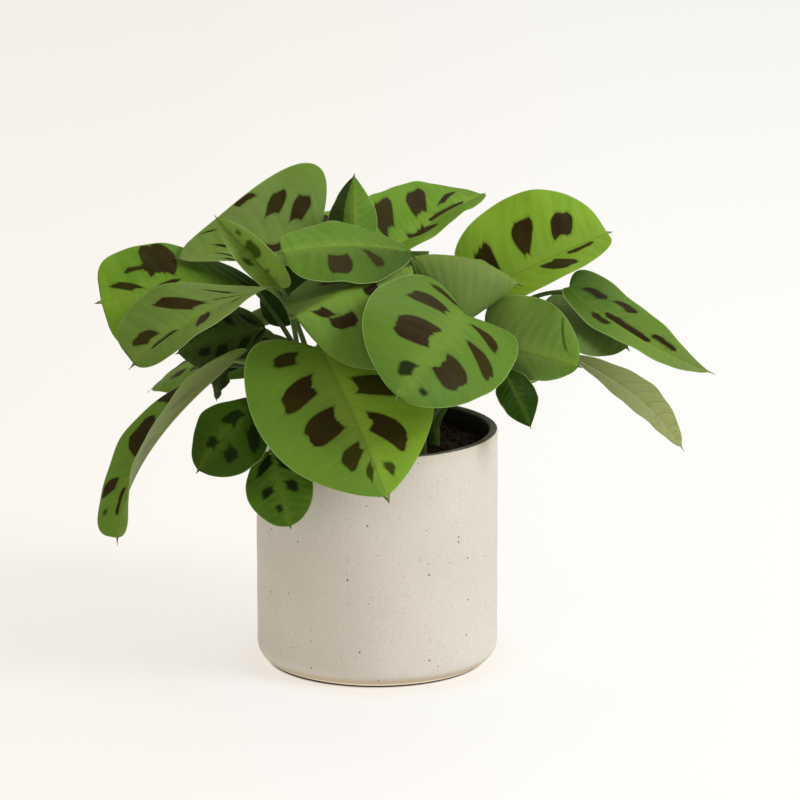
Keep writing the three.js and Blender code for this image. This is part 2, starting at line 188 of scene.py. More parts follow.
# The shoots: where each stem stands in the soil, and its leaves. A leaf has the point where its blade
# meets the petiole, its tip, and the way its upper side faces. Each of its blotches has its place
# along the side veins (s) and across (v, negative on the left half), half its size in each, and then,
# where given, how narrow it gets towards the midrib, how far it leans towards the tip on its way out,
# and how green it is.
SHOOTS = {
    "shoot_front": dict(foot=(-8, -30), leaves=[
        dict(base=(-30, -50, 185), tip=(7, -104, 114), face=(-0.08, -0.75, 0.65), width=97,
             arch=10, peak=0.4, lobe=0.27, blunt=(0.45, 0.66), tone=0.12, shade_l=0.5,
             marks=[(-0.03, 0.54, 0.04, 0.13, 1, -0.25, 0.2), (0.21, 0.45, 0.075, 0.19, 0.9),
                    (0.46, 0.36, 0.085, 0.2, 0.95), (0.69, 0.24, 0.06, 0.17, 0.55, 0.15, 0.25),
                    (0.81, 0.13, 0.032, 0.09, 0.7, 0.3, 0.6),
                    (0.82, -0.31, 0.034, 0.12, 0.4, 0.15, 0.5),
                    (0.62, -0.39, 0.08, 0.23, 0.9, 0.3, 0.1),
                    (0.34, -0.4, 0.065, 0.24, 0.9, 0.1, 0.2), (0.1, -0.5, 0.06, 0.15)]),
        dict(base=(-59, -60, 162), tip=(-95, -74, 122), face=(-0.25, -0.75, 0.6), width=44, arch=6,
             skew=-0.18, peak=0.57, blunt=(1.1, 0.5), blunt_l=(0.9, 0.5), tone=-0.75, green=1, bloom=0,
             marks=[(0.35, 0.14, 0.1, 0.22), (0.67, 0.12, 0.06, 0.16), (0.62, -0.45, 0.08, 0.15),
                    (0.3, -0.62, 0.1, 0.2)]),
        dict(base=(-56, -68, 133), tip=(-45, -78, 93), face=(-0.1, -0.9, 0.35), width=36, arch=4,
             peak=0.5, blunt=(0.6, 0.45), tone=-0.5, green=1, bloom=0,
             marks=[(0.45, 0.37, 0.065, 0.17), (0.44, -0.38, 0.085, 0.15), (0.71, 0.18, 0.05, 0.09),
                    (0.1, 0.33, 0.1, 0.3), (0.14, -0.4, 0.08, 0.16)]),
    ]),
    "shoot_front_right": dict(foot=(24, -24), leaves=[
        dict(base=(47, -45, 201), tip=(9, -118, 172), face=(0.37, -0.45, 0.8), width=84, arch=10,
             skew=0.08, peak=0.42, lobe=0.38, blunt=(0.42, 0.6), blunt_l=(0.42, 0.52), curl_l=-25,
             curl_r=-15, tone=(-0.3, -0.36),
             marks=[(-0.13, 0.61, 0.05, 0.2, 0.35, -0.3), (0.11, 0.46, 0.075, 0.24, 0.5, -0.1),
                    (0.45, 0.33, 0.11, 0.23, 1.05), (0.77, 0.18, 0.055, 0.13, 0.8, 0.1, 0.9),
                    (0.825, -0.43, 0.02, 0.1, 0.6, 0, 0.9), (0.09, -0.45, 0.06, 0.24, 0.2),
                    (0.28, -0.56, 0.075, 0.28, 0.2), (0.58, -0.45, 0.105, 0.24, 0.95, 0, 0.1)]),
        dict(base=(60, -18, 177), tip=(109, -44, 172), face=(0.15, -0.9, 0.4), width=52, arch=6,
             skew=-0.24, fold_r=-50, peak=0.36, lobe=0.25, blunt=(0.45, 0.5), tone=-0.15,
             bloom=(0.5, 0.05), marks=[(0.68, -0.64, 0.009, 0.26, 1, -0.4, 1)]),
        dict(base=(68, -35, 168), tip=(82, -42, 138), face=(0.2, -0.85, 0.5), width=22, arch=3,
             blunt=0.8, tone=-1, bloom=0, marks=[]),
    ]),
    "shoot_centre": dict(foot=(4, -8), leaves=[
        dict(base=(19, -11, 220), tip=(-46, -64, 203), face=(-0.1, -0.8, 0.6), width=92, arch=6,
             skew=-0.15, fold_r=-45, curl_r=0, peak=0.6, blunt=(0.8, 0.55), blunt_l=(0.8, 0.3),
             wave=3, waves=1.5, phase=0.4, tone=(0, -0.6), bloom=0.2, shade_l=0.3,
             marks=[(0.41, -0.13, 0.055, 0.05, 1), (0.79, -0.15, 0.04, 0.075, 1, -0.3),
                    (0.7, -0.34, 0.085, 0.08, 1), (0.42, -0.6, 0.06, 0.14), (0.45, 0.5, 0.06, 0.14)]),
        dict(base=(19, -10, 227), tip=(-53, -35, 232), face=(0, -0.48, 0.88), width=50, arch=4,
             skew=-0.1, peak=0.58, blunt=(0.6, 0.3), tone=(-0.75, -0.25), bloom=0.06, shade_r=0.3,
             marks=[(0.54, -0.5, 0.1, 0.27, 0.8, -0.1), (0.27, -0.36, 0.05, 0.27, 0.4, -0.35)]),
        dict(base=(18, 2, 221), tip=(78, 0, 206), face=(0.2, -0.2, 0.9), width=48, skew=0.65,
             fold_l=-20, fold_r=-34, curl_r=-52, peak=0.5, blunt=(0.8, 0.6), tone=-0.25, bloom=0.4,
             marks=[]),
    ]),
    "shoot_left": dict(foot=(-36, -14), leaves=[
        dict(base=(-53, -36, 215), tip=(-130, -68, 177), face=(-0.35, -0.55, 0.75), width=68,
             skew=0.2, fold_l=33, curl_l=-15, peak=0.7, blunt=(0.8, 0.22), blunt_l=(0.8, 0.38),
             tone=-0.25, bloom=(0.6, 0.15),
             marks=[(0.49, 0.46, 0.075, 0.24, 0.75, 0.18), (0.81, 0.29, 0.065, 0.13, 0.8, 0.2),
                    (0.47, -0.33, 0.055, 0.28, 0.5), (0.74, 0, 0.09, 0.035, 1, 0, 0.5),
                    (0.29, 0.19, 0.018, 0.07, 1, 0.9), (0.22, 0.53, 0.018, 0.15, 1, 0.13),
                    (0.23, -0.35, 0.03, 0.06, 1, 0, 0.7)]),
        dict(base=(-69, -22, 176), tip=(-138, -50, 76), face=(-0.8, 0.25, 0.54), width=51, arch=14,
             arch_at=0.66, skew=-0.02, fold_l=(32, 20), fold_r=(45, 15), curl_l=-5, peak=0.5,
             twist=(-5, 45), blunt=(0.62, 0.25), blunt_l=(0.95, 0.25), tone=0.15, under=-0.55,
             marks=[(0.1, 0.78, 0.06, 0.22, 1, -0.3), (0.41, 0.5, 0.095, 0.24, 0.7, -0.3),
                    (0.67, 0.7, 0.048, 0.23, 0.7), (0.77, 0.16, 0.07, 0.05, 1),
                    (0.81, 0.65, 0.014, 0.07, 1, 0, 0.7), (0.2, -0.4, 0.06, 0.14),
                    (0.46, -0.4, 0.07, 0.15), (0.7, -0.35, 0.05, 0.12)]),
        dict(base=(-60, 13, 180), tip=(-109, 18, 164), face=(-0.1, -0.65, 0.7), width=46, arch=5,
             peak=0.5, blunt=0.8, tone=-0.85, green=0.8),
        dict(base=(-80, -5, 164), tip=(-86, -6, 144), face=(-0.5, -0.5, 0.5), width=13, arch=3,
             blunt=0.8, tone=-1, marks=[]),
    ]),
    "shoot_upper_left": dict(foot=(-26, 8), leaves=[
        dict(base=(-32, 22, 226), tip=(-109, 10, 219), face=(-0.15, -0.85, 0.35), width=73, arch=4,
             skew=0.25, fold_l=42, fold_r=(0, -15), curl_l=10, curl_r=-15, peak=0.15, lobe=0.13,
             blunt=(1.2, 0.6), blunt_l=(2, 0.5), wave=2, tone=-0.17, bloom=(0.3, 0.6),
             marks=[(0.16, 0.57, 0.065, 0.14, 0.9, -0.5), (0.04, 0.43, 0.055, 0.15, 0.8, -0.45),
                    (0.28, 0.92, 0.08, 0.07, 1), (0.68, 0.76, 0.018, 0.08, 1, 0.5),
                    (0.66, 0.16, 0.018, 0.065, 1, 0.5), (0.6, -0.4, 0.014, 0.28, 1, -0.36),
                    (0.51, -0.84, 0.03, 0.13, 1, -0.5), (0.31, -0.15, 0.055, 0.16, 0.9)]),
        dict(base=(-62, 12, 202), tip=(-151, -7, 198), face=(-0.1, -0.6, 0.75), width=68,
             fold_l=-10, fold_r=5, curl_r=-15, peak=0.74, blunt=(0.32, 0.22), blunt_l=(0.6, 0.22),
             tone=(-0.95, 0.45), bloom=0,
             marks=[(0.51, 0.63, 0.13, 0.34, 0.65, -0.15), (0.68, 0.48, 0.09, 0.045, 1),
                    (0.8, 0.18, 0.05, 0.11, 0.9, 0.5), (0.56, 0.08, 0.045, 0.08, 0.9, -0.8),
                    (0.07, 0.15, 0.035, 0.12), (0.5, -0.4, 0.07, 0.16), (0.22, -0.36, 0.06, 0.14)]),
        dict(base=(-51, -16, 209), tip=(-86, -30, 252), face=(-0.4, -0.7, 0.6), width=25, arch=3,
             skew=0.3, fold_l=30, fold_r=55, tone=0.5, bloom=0.35, shade_r=0.3, green=1,
             marks=[(0.5, 0.37, 0.1, 0.26, 0.8), (0.71, 0.5, 0.03, 0.1), (0.24, 0.13, 0.02, 0.06),
                    (0.4, -0.45, 0.06, 0.16)]),
        dict(base=(-37, 25, 188), tip=(-62, 27, 205), face=(-0.1, -0.95, 0.2), width=38, arch=3,
             blunt=0.6, tone=-1, marks=[]),
    ]),
    "shoot_top": dict(foot=(10, 14), leaves=[
        dict(base=(-11, 3, 225), tip=(-12, 9, 266), face=(0.3, -0.9, 0.1), width=30, arch=-3,
             fold_l=-35, fold_r=-10, peak=0.35, blunt=(0.7, 0.9), tone=-0.2, shade_l=-0.75,
             shade_from=0.35, marks=[]),
        dict(base=(12, 24, 223), tip=(59, 74, 241), face=(0.1, -0.4, 0.92), width=50, arch=2,
             skew=-0.3, fold_l=(32, 0), fold_r=38, peak=0.3, lobe=0.15, blunt=(0.45, 0.42),
             tone=0.12, bloom=0,
             marks=[(0, -0.6, 0.12, 0.22, 0.8, 0.1), (0.37, -0.5, 0.11, 0.25, 0.6, 0.1),
                    (0.66, -0.38, 0.05, 0.13, 0.8, 0.7), (0.56, -0.07, 0.19, 0.035, 1),
                    (0.2, 0.24, 0.09, 0.28, 1)]),
        dict(base=(59, 17, 200), tip=(127, 31, 229), face=(0, -0.85, 0.5), width=63, arch=5,
             skew=-0.3, fold_l=5, fold_r=45, peak=0.46, lobe=0.2, blunt=(0.45, 0.34), tone=0.65,
             marks=[(0.06, -0.38, 0.085, 0.28, 0.4, -0.2), (0.36, -0.4, 0.1, 0.23, 0.2),
                    (0.66, -0.4, 0.085, 0.18, 0.85, 0.1), (0.72, 0.2, 0.1, 0.085, 1),
                    (0.49, 0.45, 0.085, 0.28, 0.8, 0.1)]),
    ]),
    "shoot_right": dict(foot=(31, -2), leaves=[
        dict(base=(91, 30, 191), tip=(136, 9, 168), face=(0.4, -0.5, 0.7), width=60, peak=0.5,
             blunt=0.42, tone=(-0.55, -0.4), bloom=0.3, marks=[]),
        dict(base=(103, 10, 203), tip=(181, -10, 160), face=(0.3, -0.6, 0.75), width=33, arch=-6,
             skew=-0.12, fold_l=20, fold_r=20, peak=0.3, blunt=(0.6, 0.42), blunt_l=(0.6, 0.95),
             tone=(-0.7, 0.3), bloom=(0, 0.5),
             marks=[(0.08, -0.42, 0.065, 0.11, 0.9, 0, 0.3), (0.23, -0.65, 0.065, 0.11, 1),
                    (0.41, -0.1, 0.15, 0.09, 1), (0.2, 0.38, 0.055, 0.16, 1, -0.3),
                    (0.62, -0.4, 0.085, 0.11, 1)]),
        dict(base=(103, -7, 170), tip=(164, -28, 122), face=(0.5, 0.6, 0.62), width=38, arch=7,
             arch_at=0.6, fold_l=10, fold_r=10, peak=0.55, blunt=0.7, wave=0.4, tone=(-0.5, 0.6),
             marks=[]),
    ]),
}

# The shoots at the back: their leaves fan out in tiers. A leaf has its turn round the pot in degrees,
# 0 towards +X and 90 towards the back, how far out and up its base and tip are, and its width.
BACK_SHOOTS = {
    "shoot_back_right": dict(foot=(30, 26), leaves=[
        (58, 56, 156, 134, 124, 64), (66, 46, 184, 138, 158, 70), (50, 44, 193, 114, 180, 60),
    ]),
    "shoot_back": dict(foot=(0, 38), leaves=[
        (95, 58, 166, 142, 134, 70), (90, 38, 202, 112, 188, 64), (84, 38, 218, 100, 212, 54),
    ]),
    "shoot_back_left": dict(foot=(-28, 30), leaves=[
        (122, 48, 184, 138, 158, 70), (150, 60, 162, 140, 132, 64), (128, 48, 200, 114, 182, 62),
        (126, 46, 220, 98, 216, 54),
    ]),
}
BACK_LEAF = dict(
    arch=9, twist=12, fold_l=6, fold_r=6, curl_l=-25, curl_r=-25, peak=0.46, lobe=0.12,
    blunt=(0.5, 0.62), wave=2,
)
BACK_LEAN = 0.15
BACK_SWING = 8
SEED = 7


class RandomSource:
    """The same small generator as the solids use, from 0 to 1."""

    def __init__(self, seed):
        self.state = seed

    def draw(self):
        self.state = self.state * 16807 % 2147483647
        return self.state / 2147483647


def unit(v):
    return v / np.linalg.norm(v, axis=-1, keepdims=True)


def smooth(low, high, x):
    k = np.clip((x - low) / (high - low), 0, 1)
    return k * k * (3 - 2 * k)


def along(value, t):
    """The value of a number or of a pair that runs from base to tip."""
    if isinstance(value, tuple):
        return value[0] + (value[1] - value[0]) * t
    return value + 0 * t


def outline(leaf, t, right):
    """Half the width of a blade at t, as a share of its widest, on the right half or the left."""
    warp = math.log(0.5) / math.log(leaf["peak"])
    s = np.clip(t / (1 - TIP_LENGTH), 0, 1)
    left = leaf["blunt"] if leaf["blunt_l"] is None else leaf["blunt_l"]
    body = np.sin(np.pi * s**warp).clip(0) ** np.where(right, along(leaf["blunt"], t), along(left, t))
    point = TIP_SPREAD * (1 - t) * smooth(TIP_FROM, TIP_FULL, t)
    return (body**3 + point**3) ** (1 / 3)


def midrib(leaf, t):
    """Points of the midrib and the blade's own directions there, for a column of t."""
    base, tip = np.array(leaf["base"], float), np.array(leaf["tip"], float)
    chord = tip - base
    line = unit(chord)
    facing = np.array(leaf["face"], float)
    facing = unit(facing - (facing @ line) * line)
    across = np.cross(line, facing)
    crown = base + leaf["arch_at"] * chord + 2 * leaf["arch"] * facing
    point = (1 - t) ** 2 * base + 2 * t * (1 - t) * crown + t**2 * tip
    forward = unit((1 - t) * (crown - base) + t * (tip - crown))
    flat = unit(across - (forward @ across)[:, None] * forward)
    lift = np.cross(flat, forward)
    roll = np.radians(along(leaf["twist"], t))
    side = flat * np.cos(roll) + lift * np.sin(roll)
    up = lift * np.cos(roll) - flat * np.sin(roll)
    return point, forward, side, up, np.linalg.norm(chord)


def vein_place(t, u):
    """Where the side vein through a point leaves the midrib: side veins sweep towards the tip."""
    sweep = VEIN_SWEEP * u**1.5
    return (t - sweep) / (1 - sweep)


def blade_reach(leaf, share, right):
    """How far a blade goes out from its midrib, on the right half or the left."""
    return leaf["width"] / 2 * share * np.where(right, 1 + leaf["skew"], 1 - leaf["skew"])


def edge_waves(leaf, share, t, u, right):
    """The broad waves of a blade's edge, with small ripples on them."""
    turn = leaf["waves"] * t + leaf["phase"] + np.where(right, 0.25, 0)
    ripple_turn = RIPPLES * t + 2.7 * leaf["phase"] + 0.4 * right
    ripple = RIPPLE * share * u**4 * np.sin(2 * np.pi * ripple_turn)
    return leaf["wave"] * share * u * u * np.sin(2 * np.pi * turn) + ripple


def quilting(t, u, right):
    """A blade dips at its side veins and stands up between them."""
    veins = SIDE_VEINS * vein_place(t, u) + np.where(right, 0, 0.5)
    crest = np.abs(np.sin(np.pi * veins))
    return QUILTING * (crest - 0.6) * smooth(0.04, 0.3, u) * (1 - smooth(0.8, 1, u))


def blade_grid(leaf, t, v):
    """The blade's middle surface for a column of t and a row of v."""
    point, forward, side, up, length = midrib(leaf, t)
    right = v > 0
    u = np.abs(v)
    share = outline(leaf, t, right)
    half = blade_reach(leaf, share, right)
    fold = np.radians(np.where(right, along(leaf["fold_r"], t), along(leaf["fold_l"], t)))
    curl = np.radians(np.where(right, along(leaf["curl_r"], t), along(leaf["curl_l"], t)))
    curl = np.where(curl == 0, LEAST_CURL, curl)
    out = half * (np.sin(fold + curl * u) - np.sin(fold)) / curl
    bend = half * (np.cos(fold) - np.cos(fold + curl * u)) / curl
    sweep = -2 * leaf["lobe"] * length * share * (1 - t) ** 4 * u**1.5
    lift = bend + edge_waves(leaf, share, t, u, right) + quilting(t, u, right)
    return (
        point[:, None, :]
        + forward[:, None, :] * sweep[..., None]
        + side[:, None, :] * (out * np.sign(v))[..., None]
        + up[:, None, :] * lift[..., None]
    )


def grid_normals(grid):
    """Upward unit normals of a blade's grid. Its narrow end rows take their neighbour's."""
    forward = np.gradient(grid, axis=0)
    across = np.gradient(grid, axis=1)
    normals = np.cross(across, forward)
    normals[0], normals[-1] = normals[1], normals[-2]
    return unit(normals)


def mark_fields(leaf, s, v, half_width):
    """How far a point lies inside the nearest blotch, in mm from its sides and ends, and its green.
    Last comes how coarse its edge is: 1 on a broad blotch, near 0 on a thin streak."""
    length = math.dist(leaf["base"], leaf["tip"])
    side = np.full(s.shape, -OUTSIDE)
    end = np.full(s.shape, -OUTSIDE)
    green = np.zeros(s.shape)
    coarse = np.ones(s.shape)
    for place, across, half_s, half_v, *rest in leaf["marks"]:
        narrow, lean, tint = (*rest, *(MARK_NARROW, 0, leaf["green"])[len(rest):])
        outward = (np.abs(v) - abs(across)) / half_v
        width = half_s * (1 - (1 - narrow) * np.clip((1 - outward) / 2, 0, 1) ** MARK_TAPER)
        width = width * (MARK_FULL - np.where(outward < 0, *MARK_ROUND) * np.abs(outward).clip(0, 1) ** 3)
        aside = np.abs(s - place - lean * half_v * outward)
        notch = half_v * ((aside / width).clip(0, 1) ** 2 - 0.4) * np.where(outward < 0, *MARK_NOTCH)
        off_side = (width - aside) * length
        off_end = (half_v + notch - np.abs(v - across)) * half_width
        size = np.minimum(half_s * length / MARK_BROAD[0], half_v * half_width / MARK_BROAD[1])
        nearer = np.minimum(off_side, off_end) > np.minimum(side, end)
        green = np.where(nearer, tint, green)
        coarse = np.where(nearer, size, coarse)
        side = np.where(nearer, off_side, side)
        end = np.where(nearer, off_end, end)
    most = np.minimum(side, end) + MARK_SPREAD
    side, end = np.minimum(side, most), np.minimum(end, most)
    return side.clip(-OUTSIDE), end.clip(-OUTSIDE), green, coarse.clip(MARK_LEAST_COARSE, 1)


def usual_marks(random):
    """A pair of blotches between most side veins, one on each half, a little out of step."""
    marks = []
    for side in (-1, 1):
        for place in USUAL_PLACES:
            shift = USUAL_SHIFT * (2 * random.draw() - 1) + USUAL_STAGGER * side
            across = side * (along(USUAL_ACROSS, place) + USUAL_SPREAD * random.draw())
            half_s = USUAL_HALF_S + USUAL_VARIATION * (random.draw() - place * place)
            half_v = along(USUAL_HALF_V, place)
            marks.append((place + shift, across, half_s, half_v, along(USUAL_NARROW, place)))
    return marks


def add_object(name, data):
    thing = bpy.data.objects.new(name, data)
    bpy.context.scene.collection.objects.link(thing)
    return thing


LAYERS = ("mark_side", "mark_end", "mark_green", "mark_coarse", "tone", "bloom", "reach", "span")


class MeshParts:
    """Gathers the points, faces and data layers of one piece."""

    def __init__(self):
        self.points, self.faces, self.slots, self.uvs = [], [], [], []
        self.layers = {name: [] for name in LAYERS}
        self.count = 0

    def add(self, points, faces, slots, uvs=None, **layers):
        n = len(points)
        self.points.append(points)
        self.faces.append(faces + self.count)
        self.slots.append(np.broadcast_to(slots, len(faces)))
        self.uvs.append(np.zeros((n, 2)) if uvs is None else uvs)
        for name, values in self.layers.items():
            values.append(np.broadcast_to(layers.get(name, 0.0), n))
        self.count += n

    def add_faces(self, faces, slot):
        """More faces on points that are there already."""
        self.faces.append(faces)
        self.slots.append(np.full(len(faces), slot))

    def build(self, name, materials, sharp):
        points = np.concatenate(self.points) * MM
        faces = [tuple(face) for part in self.faces for face in part.tolist()]
        mesh = bpy.data.meshes.new(name)
        mesh.from_pydata(points.tolist(), [], faces)
        mesh.update()
        for material in materials:
            mesh.materials.append(material)
        mesh.polygons.foreach_set("material_index", np.concatenate(self.slots).astype(np.int32))
        mesh.shade_smooth()
        mesh.set_sharp_from_angle(angle=math.radians(sharp))
        corners = np.zeros(len(mesh.loops), np.int32)
        mesh.loops.foreach_get("vertex_index", corners)
        uv = mesh.uv_layers.new(name="veins")
        uv.data.foreach_set("uv", np.concatenate(self.uvs)[corners].ravel().astype(np.float32))
        for layer, values in self.layers.items():
            data = np.concatenate(values).astype(np.float32)
            if data.any():
                mesh.attributes.new(layer, "FLOAT", "POINT").data.foreach_set("value", data)
        return add_object(name, mesh)


def grid_faces(rows, columns, wrap=False):
    """Quads of a grid of points, row by row. With wrap, the last column joins the first."""
    i, j = np.meshgrid(np.arange(rows - 1), np.arange(columns if wrap else columns - 1), indexing="ij")
    i, j = i.ravel(), j.ravel()
    k = (j + 1) % columns
    return np.stack([i * columns + j, i * columns + k, (i + 1) * columns + k, (i + 1) * columns + j], 1)


TOP, UNDER, STALK = range(3)


def skin_joins(rows, columns):
    """Faces that join the grids of an upper and a lower skin along their edges and ends."""
    count = rows * columns
    left = np.arange(rows) * columns
    first = np.arange(columns)
    strips = []
    for line, order in ((left + columns - 1, -1), (left, 1), (first, -1), (first + count - columns, 1)):
        a, b = line[:-1], line[1:]
        strips.append(np.stack([a, b, b + count, a + count], 1)[:, ::order])
    return np.concatenate(strips)


# The painted light and shade of a blade's green, by its tone and its halves, and darker towards the tip.
def blade_tone(leaf, t, v):
    shade = np.where(v > 0, leaf["shade_r"], leaf["shade_l"])
    tone = along(leaf["tone"], t) + shade * smooth(0, SHADE_BLEND, np.abs(v) - leaf["shade_from"])
    return tone - TIP_DARKER * smooth(*TIP_DARK, t)


def add_blade(parts, leaf):
    """A thin blade: an upper and a lower skin that meet at the margin."""
    t = (0.5 - 0.5 * np.cos(np.linspace(0, np.pi, BLADE_ROWS + 1)))[1:-1, None]
    spread = np.linspace(-1, 1, BLADE_COLUMNS + 1)
    v = np.sign(spread) * np.abs(spread) ** COLUMN_CROWDING
    u = np.abs(v)
    share = outline(leaf, t, v > 0)
    half_width = leaf["width"] / 2 * share
    half = MARGIN_THICKNESS / 2 + (BLADE_THICKNESS - MARGIN_THICKNESS) / 2 * (1 - u**6)
    half = half * np.minimum(1, 3 * share)
    rib = RIB_DEPTH * (1 - RIB_TAPER * t) * np.exp(-((u * half_width / RIB_BREADTH) ** 2))
    rib = rib * smooth(0, 0.06, t) * np.minimum(1, 2 * share)
    groove = GROOVE_DEPTH * (1 - GROOVE_TAPER * t) * np.exp(-((u * half_width / GROOVE_BREADTH) ** 2))
    groove = groove * smooth(0, 0.1, t)
    grid = blade_grid(leaf, t, v)
    normals = grid_normals(grid)
    upper = grid + normals * (half - groove)[..., None]
    lower = grid - normals * (half + rib)[..., None]

    count = share.size
    skin = grid_faces(len(t), len(v))
    joins = skin_joins(len(t), len(v))
    faces = np.concatenate([skin, skin[:, ::-1] + count, joins])
    slots = np.repeat([TOP, UNDER, TOP], [len(skin), len(skin), len(joins)])

    s = vein_place(t, u)
    side, end, green, coarse = mark_fields(leaf, s, v, half_width)
    fields = dict(
        mark_side=side, mark_end=end, mark_green=green, mark_coarse=coarse, tone=blade_tone(leaf, t, v),
        bloom=along(leaf["bloom"], t), reach=blade_reach(leaf, share, v > 0),
        span=math.dist(leaf["base"], leaf["tip"]) / 100,
    )
    layers = {name: np.tile(np.broadcast_to(field, s.shape).ravel(), 2) for name, field in fields.items()}
    layers["tone"][count:] += leaf["under"]
    uv = np.stack([s, np.broadcast_to(v, s.shape)], -1).reshape(-1, 2)
    points = np.concatenate([upper.reshape(-1, 3), lower.reshape(-1, 3)])
    parts.add(points, faces, slots, np.tile(uv, (2, 1)), **layers)


def add_tube(parts, centres, radii, tone):
    """A tube of rings round a line of points, closed by a face at each end."""
    forward = unit(np.gradient(centres, axis=0))
    start = np.array([1.0, 0, 0]) if abs(forward[0][0]) < 0.8 else np.array([0, 1.0, 0])
    sides = []
    for direction in forward:
        start = unit(start - (start @ direction) * direction)
        sides.append(start)
    sides = np.array(sides)
    third = np.cross(forward, sides)
    turn = np.linspace(0, 2 * np.pi, PETIOLE_SIDES, endpoint=False)
    ring = sides[:, None] * np.cos(turn)[:, None] + third[:, None] * np.sin(turn)[:, None]
    points = (centres[:, None] + ring * radii[:, None, None]).reshape(-1, 3)
    rings = len(centres)
    onward = np.repeat(np.linspace(0, 1, rings), PETIOLE_SIDES)
    uv = np.stack([onward, np.tile(turn / (2 * np.pi), rings)], 1)
    first = parts.count + np.arange(PETIOLE_SIDES)
    parts.add(points, grid_faces(rings, PETIOLE_SIDES, wrap=True), STALK, uv, tone=tone)
    parts.add_faces(first[None, ::-1], STALK)
    parts.add_faces(first[None] + (rings - 1) * PETIOLE_SIDES, STALK)


def petiole_line(leaf, start):
    """The petiole rises from the stem and meets the blade from below, a little way along its midrib."""
    point, forward, _, up, _ = midrib(leaf, np.array([[PETIOLE_JOINT_AT]]))
    end, forward, up = point[0], forward[0], up[0]
    onward, upward = PETIOLE_JOINT_SLOPE
    arrival = unit(onward * forward + upward * up)
    reach = np.linalg.norm(end - start)
    away = unit((end - start) * (1, 1, 0))
    rise = unit(PETIOLE_LEAN * away + (0, 0, 1))
    a = start + PETIOLE_START_HANDLE * reach * rise
    b = end - PETIOLE_END_HANDLE * reach * arrival
    k = np.linspace(0, 1, PETIOLE_STEPS + 1)[:, None]
    return (1 - k) ** 3 * start + 3 * k * (1 - k) ** 2 * a + 3 * k * k * (1 - k) * b + k**3 * end


def petiole_radii(line):
    """Slimmer towards the blade, with the sheath at the foot and the swollen joint."""
    k = np.linspace(0, 1, len(line))
    length = np.linalg.norm(np.diff(line, axis=0), axis=1).sum()
    joint = JOINT_SWELLING * np.exp(-(((1 - k) * length - JOINT_BELOW_BLADE) / JOINT_LENGTH) ** 2)
    sheath = SHEATH_SWELLING * np.exp(-k * length / SHEATH_LENGTH)
    return along((PETIOLE_FOOT, PETIOLE_END), k) + joint + sheath


def build_shoot(name, shoot, materials, random):
    parts = MeshParts()
    x, y = shoot["foot"]
    heights, shares = np.array(STEM_SECTIONS).T
    stem = np.array([(x, y, z) for z in SOIL_TOP - STEM_SINK + heights])
    add_tube(parts, stem, STEM_RADIUS * shares, STEM_TONE)
    top = np.array([x, y, SOIL_TOP + STEM_HEIGHT - 2 * PETIOLE_FOOT])
    for own in shoot["leaves"]:
        leaf = {**COMMON_LEAF, **own}
        if leaf["marks"] is None:
            leaf["marks"] = usual_marks(random)
        line = petiole_line(leaf, top)
        add_tube(parts, line, petiole_radii(line), STEM_TONE + 0.3 * along(leaf["tone"], 0))
        add_blade(parts, leaf)
    piece = parts.build(name + "_leaves", materials, sharp=70)
    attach(piece, "root")
    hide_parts(name)


def turned_point(out, angle, up):
    """A point or a direction from how far out it goes, its turn round the pot, and how far up."""
    return (out * math.cos(angle), out * math.sin(angle), up)


def back_shoots():
    """The shoots at the back, with a small random swing of each leaf about its petiole."""
    random = RandomSource(SEED)
    shoots = {}
    for name, shoot in BACK_SHOOTS.items():
        leaves = []
        for i, (turn, base_out, base_up, tip_out, tip_up, width) in enumerate(shoot["leaves"]):
            angle = math.radians(turn)
            swing = math.radians(BACK_SWING * (2 * random.draw() - 1))
            leaves.append(dict(
                BACK_LEAF, base=turned_point(base_out, angle, base_up),
                tip=turned_point(tip_out, angle + swing, tip_up), face=turned_point(BACK_LEAN, angle, 1),
                width=width, phase=i / 3, tone=0.2 * i - 0.25,
            ))
        shoots[name] = dict(foot=shoot["foot"], leaves=leaves)
    return shoots


# Materials, with colours given as they look on a screen, from 0 to 255, and lengths in metres


def colour(red, green, blue):
    """The shader's linear colour."""
    linear = [((c / 255 + 0.055) / 1.055) ** 2.4 if c > 10 else c / 255 / 12.92 for c in (red, green, blue)]
    return (*linear, 1)


